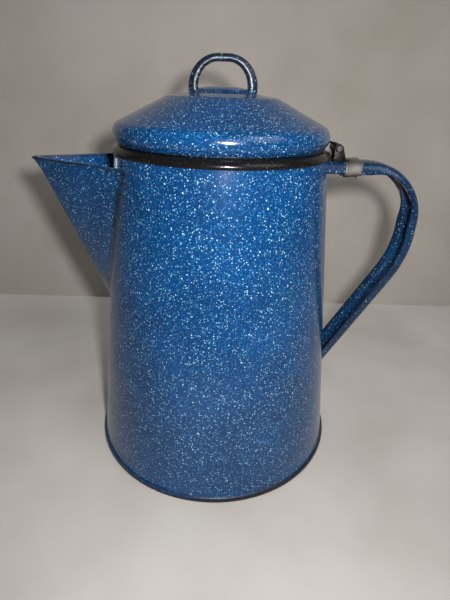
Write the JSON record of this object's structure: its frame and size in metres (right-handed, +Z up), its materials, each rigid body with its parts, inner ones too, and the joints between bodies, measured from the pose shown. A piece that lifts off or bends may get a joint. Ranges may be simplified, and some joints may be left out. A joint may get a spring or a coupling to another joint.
{
  "type": "camping percolator",
  "caption": "Tapered enamelled camping coffee pot with V spout, strap handle, hinged domed lid with loop, and a lift-out pump and perforated basket inside.",
  "frame": {"origin": "centre of the flat underside, on the pot's own axis", "axes": "+Z up along the pot; spout towards -X, handle towards +X"},
  "size_m": [0.2004, 0.1432, 0.2096],
  "materials": {
    "blue_enamel": "glossy blue enamel with fine white speckles",
    "black_enamel": "glossy black enamel edge",
    "dark_enamel": "dark navy enamel with faint speckles",
    "base_enamel": "dark enamel underside",
    "tin": "dull tinned sheet",
    "wire_steel": "darkened steel wire",
    "dark_steel": "dark enamelled steel, chipped",
    "aluminium": "satin spun aluminium"
  },
  "bodies": {
    "pot": {"pot_body": "blue_enamel", "rim_roll": "black_enamel", "pot_base": "base_enamel", "base_seam": "black_enamel", "spout": "blue_enamel", "spout_lip": "black_enamel", "handle": "blue_enamel", "hinge_clip": "tin", "hinge_pin": "wire_steel"},
    "lid": {"lid_shell": "blue_enamel", "lid_collar": "dark_enamel", "lid_loop": "dark_enamel", "hinge_leaf": "dark_steel"},
    "pump": {"pump_tube": "aluminium", "pump_foot": "aluminium", "valve_seat": "aluminium", "basket_stop": "aluminium"},
    "valve": {"valve_disc": "aluminium"},
    "basket": {"basket": "aluminium"},
    "cover": {"basket_cover": "aluminium"}
  },
  "joints": [
    {"name": "lid_hinge", "type": "hinge", "parent": "pot", "child": "lid", "pos_m": [0.05755, 0, 0.1708], "axis": [0, 1, 0], "range_deg": [0, 110]},
    {"name": "insert_lift", "type": "slide", "parent": "pot", "child": "pump", "axis": [0, 0, 1], "range_m": [0, 0.02]},
    {"name": "basket_lift", "type": "slide", "parent": "pump", "child": "basket", "axis": [0, 0, 1], "range_m": [0, 0.01]},
    {"name": "cover_lift", "type": "slide", "parent": "basket", "child": "cover", "axis": [0, 0, 1], "range_m": [0, 0.01]},
    {"name": "valve_lift", "type": "slide", "parent": "pump", "child": "valve", "axis": [0, 0, 1], "range_m": [0, 0.003]}
  ],
  "couplings": [
    {"joint": "insert_lift", "follows": "lid_hinge", "m_per_rad": 0.01},
    {"joint": "basket_lift", "follows": "lid_hinge", "m_per_rad": 0.005},
    {"joint": "cover_lift", "follows": "lid_hinge", "m_per_rad": 0.005}
  ]
}
